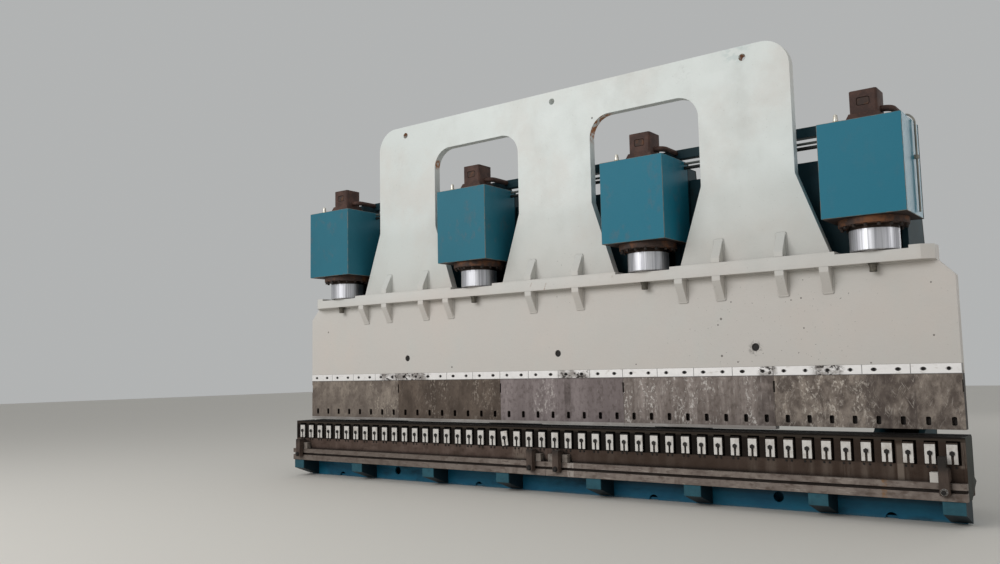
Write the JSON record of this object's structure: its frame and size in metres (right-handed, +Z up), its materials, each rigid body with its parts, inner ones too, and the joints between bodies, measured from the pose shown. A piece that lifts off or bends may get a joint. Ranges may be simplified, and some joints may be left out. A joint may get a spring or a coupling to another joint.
{
  "type": "hydraulic press brake",
  "caption": "Long press brake whose windowed ram plate straddles hydraulic cylinders on C-frames, over a bed with a row of wedge clamps.",
  "frame": {"origin": "on the floor, at the middle of the machine's length, under the middle of the ram plate's thickness", "axes": "+X along the bending line to the right as seen from the front, +Y to the back, +Z up"},
  "size_m": [10.07, 1.708, 5.562],
  "materials": {
    "ram_paint": "satin warm grey paint, yellowed below the shelf",
    "clamp_bar_steel": "ground bright steel, stained in places",
    "holder_steel": "rolled steel with brown streaks and light scuffs",
    "black_steel": "blackened steel",
    "teal_paint": "semi-gloss teal paint",
    "dark_teal_paint": "dark teal paint in shade",
    "grey_green_paint": "matt grey green paint",
    "rusty_iron": "brown rusted iron",
    "hard_chrome": "polished chrome",
    "ground_steel": "ground bright steel",
    "stained_bed_steel": "oil and rust stained steel",
    "rail_steel": "dull machined steel",
    "seal_rubber": "black rubber",
    "fitting_brass": "dull brass",
    "pipe_steel": "grey beige painted pipe"
  },
  "bodies": {
    "frame": {"base_beam": "teal_paint", "base_brackets": "teal_paint", "bed_left": "stained_bed_steel", "bed_right": "stained_bed_steel", "bleed_fittings": "fitting_brass", "c_frame_1": "dark_teal_paint", "c_frame_2": "dark_teal_paint", "c_frame_3": "dark_teal_paint", "c_frame_4": "dark_teal_paint", "clamp_bolts": "black_steel", "clamp_plates": "ground_steel", "cross_plates": "dark_teal_paint", "cylinder_housing_1": "teal_paint", "cylinder_housing_2": "teal_paint", "cylinder_housing_3": "teal_paint", "cylinder_housing_4": "teal_paint", "drain_pipe": "pipe_steel", "end_plates": "grey_green_paint", "fitting_elbows": "pipe_steel", "frame_spines": "grey_green_paint", "front_rails": "rail_steel", "gland_rings": "rusty_iron", "guide_blocks": "dark_teal_paint", "head_plates": "dark_teal_paint", "header_beam": "teal_paint", "header_saddles": "teal_paint", "oil_pipes": "pipe_steel", "pipe_clip": "pipe_steel", "ring_bolts": "rusty_iron", "rod_seals": "seal_rubber", "spacer_pads": "ground_steel", "tie_bars": "stained_bed_steel", "tie_bolts": "black_steel", "valve_arms": "rusty_iron", "valve_blocks": "rusty_iron", "wedge_blocks": "stained_bed_steel"},
    "ram": {"clamp_bar_screws": "black_steel", "clamp_bars": "clamp_bar_steel", "guide_rails": "ground_steel", "gussets_lower": "ram_paint", "gussets_upper": "ram_paint", "hole_plugs": "black_steel", "lip_bars": "clamp_bar_steel", "piston_rod_1": "hard_chrome", "piston_rod_2": "hard_chrome", "piston_rod_3": "hard_chrome", "piston_rod_4": "hard_chrome", "piston_seals": "seal_rubber", "ram_plate": "ram_paint", "rod_bolts": "black_steel", "shelf_front": "ram_paint", "shelf_rear": "ram_paint", "thrust_pads": "ground_steel", "tool_holder_1": "holder_steel", "tool_holder_2": "holder_steel", "tool_holder_3": "holder_steel", "tool_holder_4": "holder_steel", "tool_holder_5": "holder_steel"}
  },
  "joints": [
    {"name": "ram_slide", "type": "slide", "parent": "frame", "child": "ram", "axis": [0, 0, 1], "range_m": [0, 0.25]}
  ]
}
